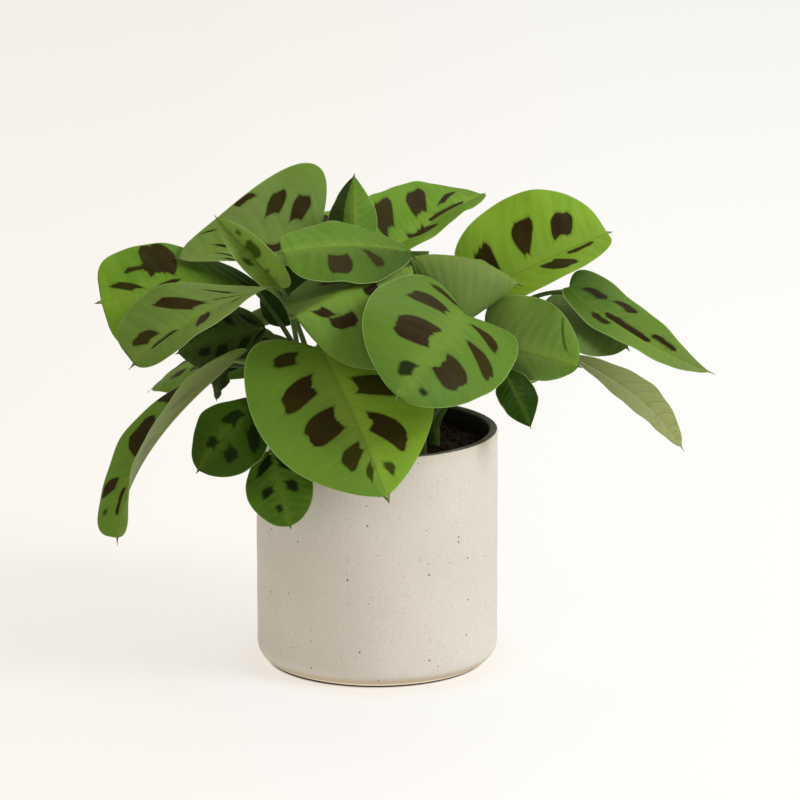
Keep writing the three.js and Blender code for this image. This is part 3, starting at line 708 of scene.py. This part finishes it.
class Nodes:
    """A material's node tree, with short calls for the nodes that it uses. Its surface is painted in
    layers on a first colour."""

    def __init__(self, name, first):
        self.material = bpy.data.materials.new(name)
        self.material.use_nodes = True
        self.tree = self.material.node_tree
        self.tree.nodes.clear()
        self.shader = self.add("ShaderNodeBsdfPrincipled")
        self.surface = first
        output = self.add("ShaderNodeOutputMaterial")
        self.tree.links.new(self.shader.outputs[0], output.inputs[0])

    def add(self, kind, **settings):
        node = self.tree.nodes.new(kind)
        for key, value in settings.items():
            setattr(node, key, value)
        return node

    def link(self, value, socket):
        if isinstance(value, bpy.types.NodeSocket):
            self.tree.links.new(value, socket)
        else:
            socket.default_value = value

    def maths(self, operation, *values):
        node = self.add("ShaderNodeMath", operation=operation)
        for value, socket in zip(values, node.inputs):
            self.link(value, socket)
        return node.outputs[0]

    def times(self, a, b):
        return self.maths("MULTIPLY", a, b)

    def plus(self, a, b):
        return self.maths("ADD", a, b)

    def place(self):
        return self.add("ShaderNodeTexCoord").outputs["Object"]

    def split(self, vector):
        node = self.add("ShaderNodeSeparateXYZ")
        self.link(vector, node.inputs[0])
        return node.outputs

    def height(self, place):
        """How high a place is above the surface that the pot stands on, in millimetres."""
        return self.maths("DIVIDE", self.split(place)[2], MM)

    def attribute(self, name):
        return self.add("ShaderNodeAttribute", attribute_name=name).outputs["Fac"]

    def ramp(self, value, low, high, to_low=0, to_high=1):
        """A smooth step of a value."""
        node = self.add("ShaderNodeMapRange", interpolation_type="SMOOTHSTEP")
        self.link(value, node.inputs["Value"])
        for socket, number in zip(node.inputs[1:5], (low, high, to_low, to_high)):
            socket.default_value = number
        return node.outputs[0]

    def mix(self, share, a, b, blend="MIX"):
        node = self.add("ShaderNodeMix", data_type="RGBA", blend_type=blend)
        self.link(share, node.inputs[0])
        self.link(a, node.inputs[6])
        self.link(b, node.inputs[7])
        return node.outputs[2]

    def paint(self, share, layer, blend="MIX"):
        self.surface = self.mix(share, self.surface, layer, blend)

    def noise(self, vector, scale, detail=2, roughness=0.5):
        node = self.add("ShaderNodeTexNoise")
        self.link(vector, node.inputs["Vector"])
        node.inputs["Scale"].default_value = scale
        node.inputs["Detail"].default_value = detail
        node.inputs["Roughness"].default_value = roughness
        return node.outputs["Fac"]

    def combine(self, x, y):
        node = self.add("ShaderNodeCombineXYZ")
        self.link(x, node.inputs[0])
        self.link(y, node.inputs[1])
        return node.outputs[0]

    def bump(self, height, strength, distance):
        node = self.add("ShaderNodeBump")
        self.link(height, node.inputs["Height"])
        node.inputs["Strength"].default_value = strength
        node.inputs["Distance"].default_value = distance
        self.link(node.outputs[0], self.shader.inputs["Normal"])

    def set(self, **values):
        for key, value in values.items():
            self.link(value, self.shader.inputs[key.replace("_", " ")])


LEAF_SHADED = colour(34, 62, 0)
LEAF_GREEN = colour(102, 143, 43)
LEAF_SUNLIT = colour(138, 180, 42)
LEAF_PALE = colour(142, 172, 66)
LEAF_RIB = colour(106, 128, 22)
LEAF_EDGE_AND_HIGHLIGHT = colour(178, 200, 140)
LEAF_PAINTED_SHEEN = colour(128, 138, 96)
LEAF_SCATTER = (0.7, 1, 0.3)
CLOUD_TINT = (0.74, 0.84, 0.8, 1)
STREAK_TINT = (0.72, 0.8, 0.62, 1)
VEIN_TINT = (0.5, 0.62, 0.35, 1)
MARK_BROWN = colour(45, 33, 10)
MARK_OLIVE = colour(48, 45, 5)
MARK_HALO = colour(26, 48, 0)
MARK_GREEN_IN_SHADE = colour(16, 34, 0)
MARK_GREEN_IN_LIGHT = colour(66, 84, 12)
UNDER_SHADED = colour(74, 92, 34)
UNDER_PALE = colour(180, 192, 122)
UNDER_STREAK = colour(112, 122, 76)
UNDER_VEIN = colour(104, 118, 66)
UNDER_RIB = colour(176, 182, 138)
UNDER_MARK = colour(98, 96, 72)
STALK_GREEN = colour(62, 88, 30)
STALK_LIGHT = colour(96, 124, 54)
STALK_JOINT = colour(132, 158, 76)
STALK_SHADED = colour(36, 56, 16)
GLAZE_GREY = colour(213, 208, 200)
GLAZE_PALE = colour(219, 214, 206)
GLAZE_GRAIN = colour(168, 160, 146)
GLAZE_SPECK = colour(66, 58, 48)
GLAZE_TAN = colour(186, 168, 134)
GLAZE_FOOT_REFLECTION = colour(255, 248, 226)
GLAZE_LIP = colour(206, 200, 178)
RIM_GREY = colour(86, 84, 86)
RIM_PALE = colour(106, 103, 105)
INSIDE_PAINTED_SHADE = colour(26, 23, 21)
SOIL_DARK = colour(15, 10, 6)
SOIL_BROWN = colour(50, 34, 24)
SOIL_DUST = colour(82, 60, 46)
FLOOR_SHADED_LEFT = (0.294, 0.287, 0.279, 1)
FLOOR_LIT_RIGHT = (0.299, 0.301, 0.303, 1)
FLOOR_WARM_GLOW = (0.28, 0.245, 0.18, 1)
FLOOR_CONTACT_SHADOW = colour(112, 84, 54)


def vein_coordinates(nodes):
    """A blade's s and v, or how far along and round a petiole a point is."""
    return nodes.split(nodes.add("ShaderNodeUVMap", uv_map="veins").outputs[0])[:2]


def vein_lines(nodes, s, sharpness):
    """1 on the side veins, 0 between them, for both halves of a blade."""
    wave = nodes.maths("PINGPONG", nodes.times(s, SIDE_VEINS), 0.5)
    return nodes.ramp(wave, 0, sharpness, 1, 0)


def streaks(nodes, s, v, fineness, stretch):
    """Noise drawn out along the side veins, as fine on a small leaf as on a large one."""
    along_rib = nodes.times(nodes.times(s, nodes.attribute("span")), fineness)
    return nodes.noise(nodes.combine(along_rib, nodes.times(v, stretch)), 1, 2, 0.6)


def paint_green(nodes, u, tone, cloud, streak, lateral):
    """The leaf between its blotches: painted shade and light by its tone, mottled, darker at the side
    veins, paler along the midrib, with a painted greyish sheen.
    """
    nodes.paint(nodes.ramp(tone, -1, 0), LEAF_GREEN)
    nodes.paint(nodes.ramp(tone, 0, 1), LEAF_SUNLIT)
    nodes.paint(nodes.ramp(cloud, 0.35, 0.7, 0, 0.5), CLOUD_TINT, "MULTIPLY")
    nodes.paint(nodes.ramp(streak, 0.42, 0.7, 0, 0.3), STREAK_TINT, "MULTIPLY")
    nodes.paint(lateral, VEIN_TINT, "MULTIPLY")
    band = nodes.plus(u, nodes.times(nodes.plus(streak, -0.5), 0.4))
    pale = nodes.times(nodes.ramp(band, 0, 0.35, 1, 0), nodes.ramp(tone, -0.7, 0, 0.08, 0.3))
    nodes.paint(pale, LEAF_PALE)
    # A painted greyish sheen, standing in for light reflected off the leaf, in each leaf's own share.
    painted_sheen_share = nodes.times(nodes.attribute("bloom"), nodes.ramp(cloud, 0.3, 0.6, 0.55, 1))
    nodes.paint(painted_sheen_share, LEAF_PAINTED_SHEEN)


def paint_blotches(nodes, s, v, tone, cloud, place):
    """The blotches, with frayed ends and smoother sides, and a dark halo round each. Green blotches take
    painted shade and light from the tone.
    """
    green = nodes.attribute("mark_green")
    coarse = nodes.attribute("mark_coarse")
    teeth = nodes.plus(streaks(nodes, s, v, 36, 3), -0.5)
    frayed = nodes.times(coarse, nodes.maths("MULTIPLY_ADD", green, -4.5, 7))
    end = nodes.maths("MULTIPLY_ADD", teeth, frayed, nodes.attribute("mark_end"))
    wobble = nodes.plus(nodes.noise(place, 190, 2), -0.5)
    side = nodes.maths("MULTIPLY_ADD", wobble, nodes.times(coarse, 1.5), nodes.attribute("mark_side"))
    depth = nodes.maths("SMOOTH_MIN", end, side, nodes.times(coarse, 4))
    nodes.paint(nodes.ramp(depth, -1.6, 0.4, 0, 0.45), MARK_HALO)
    brown = nodes.mix(nodes.ramp(cloud, 0.4, 0.65), MARK_BROWN, MARK_OLIVE)
    # Green blotches in painted shade: darker where the tone is low, lighter where it is high.
    leafy = nodes.mix(nodes.ramp(tone, -0.5, 0.4), MARK_GREEN_IN_SHADE, MARK_GREEN_IN_LIGHT)
    inside = nodes.maths("DIVIDE", depth, nodes.maths("MULTIPLY_ADD", green, 0.7, 0.35))
    nodes.paint(nodes.ramp(inside, -1, 1), nodes.mix(green, brown, leafy))


def leaf_top_material():
    nodes = Nodes("leaf_top", LEAF_SHADED)
    s, v = vein_coordinates(nodes)
    u = nodes.maths("ABSOLUTE", v)
    place = nodes.place()
    tone = nodes.attribute("tone")
    cloud = nodes.noise(place, 24, 3, 0.55)
    streak = streaks(nodes, s, v, 34, 2.5)
    lateral = nodes.times(vein_lines(nodes, s, 0.05), nodes.ramp(u, 0.1, 0.8, 0.24, 0.05))
    paint_green(nodes, u, tone, cloud, streak, lateral)
    reach = nodes.attribute("reach")
    from_rib = nodes.times(u, reach)
    # The midrib's colour, fainter where the tone paints shade.
    rib = nodes.times(nodes.ramp(from_rib, 0.15, 0.6, 0.5, 0), nodes.ramp(tone, -1, 0, 0.15, 1))
    nodes.paint(nodes.times(rib, nodes.ramp(reach, 1, 5)), LEAF_RIB)
    paint_blotches(nodes, s, v, tone, cloud, place)
    # A pale rim along the margin: partly the blade's own paler edge, partly a painted highlight of light
    # shining through it.
    from_edge = nodes.maths("SUBTRACT", reach, from_rib)
    edge_and_highlight = nodes.times(nodes.ramp(from_edge, 0.2, 0.55, 0.45, 0), nodes.ramp(reach, 3, 9))
    nodes.paint(edge_and_highlight, LEAF_EDGE_AND_HIGHLIGHT)
    nodes.set(Base_Color=nodes.surface, Roughness=nodes.ramp(streak, 0.3, 0.7, 0.46, 0.56))
    nodes.set(Specular_IOR_Level=0.08)
    nodes.set(Subsurface_Weight=0.06, Subsurface_Scale=0.001, Subsurface_Radius=LEAF_SCATTER)
    nodes.bump(nodes.plus(nodes.times(lateral, -2), nodes.times(streak, 0.7)), 0.5, 0.0004)
    return nodes.material


def leaf_under_material():
    nodes = Nodes("leaf_under", UNDER_SHADED)
    s, v = vein_coordinates(nodes)
    u = nodes.maths("ABSOLUTE", v)
    streak = streaks(nodes, s, v, 40, 1.6)
    # Painted shade and light on the underside: from UNDER_SHADED in shade to UNDER_PALE in light, by the
    # tone.
    nodes.paint(nodes.ramp(nodes.attribute("tone"), -1, 0.6), UNDER_PALE)
    nodes.paint(nodes.ramp(streak, 0.5, 0.75, 0, 0.3), UNDER_STREAK)
    lateral = vein_lines(nodes, s, 0.06)
    nodes.paint(nodes.times(lateral, 0.3), UNDER_VEIN)
    nodes.paint(nodes.ramp(u, 0.012, 0.05, 0.6, 0), UNDER_RIB)
    depth = nodes.maths("SMOOTH_MIN", nodes.attribute("mark_end"), nodes.attribute("mark_side"), 1.6)
    nodes.paint(nodes.ramp(depth, -1.2, 1.2, 0, 0.5), UNDER_MARK)
    nodes.set(Base_Color=nodes.surface, Roughness=0.55, Specular_IOR_Level=0.12)
    nodes.set(Subsurface_Weight=0.06, Subsurface_Scale=0.001, Subsurface_Radius=LEAF_SCATTER)
    nodes.bump(nodes.plus(lateral, nodes.times(streak, 0.8)), 0.5, 0.0004)
    return nodes.material


def stalk_material():
    nodes = Nodes("petiole", STALK_GREEN)
    upward, around = vein_coordinates(nodes)
    fibre = nodes.noise(nodes.combine(nodes.times(upward, 4), nodes.times(around, 22)), 1, 2)
    nodes.paint(nodes.ramp(fibre, 0.35, 0.7), STALK_LIGHT)
    nodes.paint(nodes.ramp(upward, 0.8, 1, 0, 0.6), STALK_JOINT)
    nodes.paint(nodes.ramp(nodes.attribute("tone"), -0.7, -0.2, 0.6, 0), STALK_SHADED)
    nodes.set(Base_Color=nodes.surface, Roughness=0.5, Specular_IOR_Level=0.35)
    nodes.bump(fibre, 0.4, 0.0003)
    return nodes.material


def speck_spots(nodes, place, scale, radius, share):
    """1 inside the specks of one size and 0 around them: a speck in some cells, each with its own size."""
    cells = nodes.add("ShaderNodeTexVoronoi", feature="F1")
    nodes.link(place, cells.inputs["Vector"])
    cells.inputs["Scale"].default_value = scale
    chance = nodes.add("ShaderNodeSeparateColor")
    nodes.link(cells.outputs["Color"], chance.inputs[0])
    least = radius * MM * scale
    size = nodes.maths("MULTIPLY_ADD", chance.outputs[1], least, least)
    near = nodes.maths("DIVIDE", cells.outputs["Distance"], size)
    chosen = nodes.maths("LESS_THAN", chance.outputs[0], share)
    return nodes.times(nodes.ramp(near, 0.75, 1, 1, 0), chosen)


def stoneware_material():
    nodes = Nodes("stoneware", GLAZE_GREY)
    place = nodes.place()
    height = nodes.height(place)
    cloud = nodes.noise(place, 22, 4, 0.6)
    grain = nodes.noise(place, 1300, 2, 0.7)
    nodes.paint(nodes.ramp(cloud, 0.3, 0.72), GLAZE_PALE)
    nodes.paint(nodes.ramp(grain, 0.46, 0.7, 0, 0.3), GLAZE_GRAIN)
    pits = nodes.plus(nodes.times(grain, 0.5), nodes.times(nodes.noise(place, 420, 3), 0.9))
    for scale, radius, share, strength, pit in SPECKS:
        speck = speck_spots(nodes, place, scale, radius, share)
        nodes.paint(nodes.times(speck, strength), GLAZE_SPECK)
        pits = nodes.maths("MULTIPLY_ADD", speck, -pit, pits)
    uneven = nodes.plus(nodes.noise(place, 260, 2), -0.5)
    level = nodes.maths("MULTIPLY_ADD", uneven, BAND_RAGGED, height)
    nodes.paint(nodes.ramp(level, *TAN_BAND, 0.8, 0), GLAZE_TAN)
    # A painted reflection of the bright floor: a cream line along the foot's lowest couple of millimetres.
    nodes.paint(nodes.ramp(height, *FOOT_REFLECTION_LINE, 1, 0), GLAZE_FOOT_REFLECTION)
    nodes.paint(nodes.ramp(level, *LIP_BAND, 0, 0.5), GLAZE_LIP)
    nodes.set(Base_Color=nodes.surface, Roughness=nodes.ramp(grain, 0.3, 0.7, 0.52, 0.66))
    nodes.set(Specular_IOR_Level=0.4)
    nodes.bump(pits, 0.35, 0.00035)
    return nodes.material


def rim_material():
    nodes = Nodes("dark_glaze", RIM_GREY)
    place = nodes.place()
    cloud = nodes.noise(place, 160, 3)
    nodes.paint(nodes.ramp(cloud, 0.35, 0.7), RIM_PALE)
    # Painted shade inside the pot: the rim's glaze turns nearly black just below its top.
    nodes.paint(nodes.ramp(nodes.height(place), *INSIDE_SHADE_FADE, 1, 0), INSIDE_PAINTED_SHADE)
    nodes.set(Base_Color=nodes.surface, Roughness=nodes.ramp(cloud, 0.3, 0.7, 0.45, 0.6))
    nodes.set(Specular_IOR_Level=0.4)
    nodes.bump(cloud, 0.2, 0.0003)
    return nodes.material


def soil_material():
    nodes = Nodes("potting_mix", SOIL_DARK)
    place = nodes.place()
    lumps = nodes.noise(place, 190, 4, 0.65)
    dust = nodes.noise(place, 900, 3, 0.7)
    nodes.paint(nodes.ramp(lumps, 0.3, 0.72), SOIL_BROWN)
    nodes.paint(nodes.ramp(dust, 0.5, 0.75, 0, 0.6), SOIL_DUST)
    nodes.set(Base_Color=nodes.surface, Roughness=0.95, Specular_IOR_Level=0.2)
    nodes.bump(nodes.plus(lumps, nodes.times(dust, 0.4)), 0.9, 0.0012)
    return nodes.material


def floor_material():
    nodes = Nodes("paper_floor", FLOOR_SHADED_LEFT)
    place = nodes.place()
    # Painted shade: the floor is warmer and a little darker on the left, away from the key light.
    nodes.paint(nodes.ramp(nodes.split(place)[0], *FLOOR_FADE), FLOOR_LIT_RIGHT)
    distance = nodes.add("ShaderNodeVectorMath", operation="DISTANCE")
    nodes.link(place, distance.inputs[0])
    nodes.link(CONTACT_CENTRE, distance.inputs[1])
    away = distance.outputs["Value"]
    # A painted warm glow on the floor round the pot.
    nodes.paint(nodes.ramp(away, *WARM_GLOW_RING, 0.3, 0), FLOOR_WARM_GLOW)
    nodes.set(Emission_Color=nodes.surface)
    # A painted contact shadow round the pot's foot: the floor's glow is cut off there and it turns dark
    # brown.
    nodes.set(Emission_Strength=nodes.ramp(away, *CONTACT_SHADOW_RING, 0, FLOOR_GLOW))
    nodes.paint(nodes.ramp(away, *CONTACT_SHADOW_RING, 1, 0), FLOOR_CONTACT_SHADOW)
    nodes.set(Base_Color=nodes.surface, Roughness=0.9, Specular_IOR_Level=0.1)
    return nodes.material


def rounded(x, z, radius, start, end, steps):
    """Points of a quarter round from one angle to another, in degrees."""
    angles = np.radians(np.linspace(start, end, steps + 1))
    return np.stack([x + radius * np.cos(angles), z + radius * np.sin(angles)], 1)


def upright(x, start, end, count):
    """Points of an upright line from one height to another, without its ends."""
    return np.stack([np.full(count, x), np.linspace(start, end, count + 2)[1:-1]], 1)


def turned(parts, profile, sides, slots, uneven=0.0):
    """A closed turned body from a profile that starts and ends on the axis."""
    ring = profile[1:-1]
    turn = np.linspace(0, 2 * np.pi, sides, endpoint=False)
    radius, height = ring[:, 0][:, None], ring[:, 1][:, None]
    wobble = np.sin(3 * turn + 0.035 * height) + 0.7 * np.sin(7 * turn - 0.05 * height + 1.3)
    wobble = wobble + 0.5 * np.sin(0.21 * height + 2 * turn)
    radius = radius + uneven * wobble
    points = np.stack([radius * np.cos(turn), radius * np.sin(turn), height + 0 * turn], -1).reshape(-1, 3)
    around = parts.count + np.arange(sides)
    onward = np.roll(around, -1)
    parts.add(points, grid_faces(len(ring), sides, wrap=True), np.repeat(slots[1:-1], sides))
    last = (len(ring) - 1) * sides
    ends = ((profile[0], onward, around, slots[0]), (profile[-1], last + around, last + onward, slots[-1]))
    for end, a, b, slot in ends:
        centre = np.full(sides, parts.count)
        parts.add(np.array([[0.0, 0.0, end[1]]]), np.zeros((0, 3), int), slot)
        parts.add_faces(np.stack([a, b, centre], 1), slot)


def build_pot():
    bore = POT_RADIUS - POT_WALL
    lip = POT_HEIGHT - POT_RIM_ROUNDING
    foot, rim, well = POT_BASE_ROUNDING, POT_RIM_ROUNDING, POT_INNER_ROUNDING
    pale = np.concatenate([
        [[0, 0], [POT_RADIUS - foot - POT_BASE_INSET, 0]],
        rounded(POT_RADIUS - foot, foot, foot, -90, 0, 14),
        upright(POT_RADIUS, foot, lip, 30),
        rounded(POT_RADIUS - rim, lip, rim, 0, DARK_GLAZE_FROM, 4),
    ])
    dark = np.concatenate([
        rounded(POT_RADIUS - rim, lip, rim, DARK_GLAZE_FROM, 90, 3)[1:],
        rounded(bore + rim, lip, rim, 90, 180, 5),
        upright(bore, lip, POT_FLOOR + well, 6),
        rounded(bore - well, POT_FLOOR + well, well, 0, -90, 5),
        [[0, POT_FLOOR]],
    ])
    slots = np.repeat([0, 1], [len(pale) - 1, len(dark)])
    parts = MeshParts()
    turned(parts, np.concatenate([pale, dark]), POT_SIDES, slots, POT_UNEVEN)
    pot = parts.build("pot_body", [stoneware_material(), rim_material()], sharp=50)
    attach(pot, "root")
    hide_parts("pot")


def soil_height(x, y):
    """The soil's lumpy top, as the solids have it, with finer lumps on it."""
    coarse = np.sin(0.21 * x + 0.7) * np.cos(0.17 * y - 0.4)
    fine = np.sin(0.47 * x - 0.31 * y) * np.cos(0.39 * x + 0.52 * y + 1.1)
    grit = np.sin(1.3 * x + 0.9 * y + 0.5) * np.sin(1.1 * y - 0.8 * x) + 0.6 * np.sin(2.3 * x - 1.7 * y)
    return SOIL_TOP + SOIL_LUMPS * (0.6 * coarse + 0.5 * fine) + SOIL_GRIT * grit


def crumb_shape():
    """A crumb of soil before it is made uneven: two rings of five points, with one above and one below."""
    turn = np.radians(36 * np.arange(10))
    rings = np.stack([0.894 * np.cos(turn), 0.894 * np.sin(turn), np.tile([0.447, -0.447], 5)], 1)
    points = np.round(np.concatenate([[[0, 0, 1]], rings[::2], rings[1::2], [[0, 0, -1]]]), 2)
    i = np.arange(1, 6)
    j = np.roll(i, -1)
    top, bottom = np.zeros(5, int), np.full(5, 11)
    sets = ((top, i, j), (i, i + 5, j), (j, i + 5, j + 5), (i + 5, bottom, j + 5))
    return points, np.concatenate([np.stack(corners, 1) for corners in sets])


def build_soil():
    radius = POT_RADIUS - POT_WALL - FIT_GAP
    floor = POT_FLOOR + FIT_GAP
    rings = np.linspace(radius, 0, SOIL_RINGS + 1)[:-1]
    profile = np.concatenate([
        [[0, floor]],
        rounded(radius - POT_INNER_ROUNDING, floor + POT_INNER_ROUNDING, POT_INNER_ROUNDING, -90, 0, 4),
        np.stack([rings, np.full(SOIL_RINGS, SOIL_TOP)], 1),
        [[0, SOIL_TOP]],
    ])
    parts = MeshParts()
    turned(parts, profile, SOIL_SECTORS, np.zeros(len(profile) - 1, int))
    for points in parts.points:
        top = points[:, 2] > SOIL_TOP - 0.01
        points[top, 2] = soil_height(points[top, 0], points[top, 1])
    crumb_points, crumb_faces = crumb_shape()
    random = np.random.default_rng(SEED)
    for _ in range(CRUMBS):
        size = random.uniform(0.5, 1.1) ** 2 * CRUMB_SIZE
        out = (radius - CRUMB_MARGIN) * math.sqrt(random.uniform())
        x, y, _ = turned_point(out, random.uniform(0, 2 * math.pi), 0)
        shape = crumb_points * random.uniform(0.65, 1.25, (len(crumb_points), 1)) * size
        shape = shape * (random.uniform(0.8, 1.3), random.uniform(0.8, 1.3), random.uniform(0.5, 0.9))
        spin = np.array(Matrix.Rotation(random.uniform(0, 2 * math.pi), 3, "Z"))
        place = np.array([x, y, soil_height(x, y) + 0.25 * size])
        parts.add(shape @ spin.T + place, crumb_faces, 0)
    soil = parts.build("soil_surface", [soil_material()], sharp=60)
    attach(soil, "root")
    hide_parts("soil")


def look_along(thing, direction):
    thing.rotation_euler = Vector(direction).to_track_quat("-Z", "Y").to_euler()


def add_camera():
    elevation = math.radians(CAMERA_ELEVATION)
    forward = Vector((0, math.cos(elevation), -math.sin(elevation)))
    data = bpy.data.cameras.new("camera")
    data.lens = LENS
    data.clip_end = VIEW_DEPTH
    camera = add_object("camera", data)
    camera.location = Vector(LOOK_AT) * MM - forward * CAMERA_DISTANCE * MM
    look_along(camera, forward)
    bpy.context.scene.camera = camera


def add_light(name, place, size, power, tint):
    data = bpy.data.lights.new(name, "AREA")
    data.shape = "DISK"
    data.size = size
    data.energy = power
    data.color = tint
    light = add_object(name, data)
    light.location = place
    look_along(light, Vector(LIGHT_AIM) - Vector(place))


def add_studio():
    world = bpy.data.worlds.new("studio")
    world.use_nodes = True
    background = world.node_tree.nodes["Background"]
    background.inputs["Color"].default_value = WORLD_TINT
    background.inputs["Strength"].default_value = WORLD_STRENGTH
    bpy.context.scene.world = world
    for name, settings in LIGHTS.items():
        add_light(name, **settings)
    mesh = bpy.data.meshes.new("floor")
    corners = [(x * FLOOR_HALF, y * FLOOR_HALF, 0) for x, y in ((-1, -1), (1, -1), (1, 1), (-1, 1))]
    mesh.from_pydata(corners, [], [(0, 1, 2, 3)])
    mesh.materials.append(floor_material())
    floor = add_object("floor", mesh)


add_camera()
add_studio()
build_pot()
build_soil()
leaf_materials = [leaf_top_material(), leaf_under_material(), stalk_material()]
mark_random = RandomSource(SEED + 4)
for shoot_name, shoot_data in {**SHOOTS, **back_shoots()}.items():
    build_shoot(shoot_name, shoot_data, leaf_materials, mark_random)
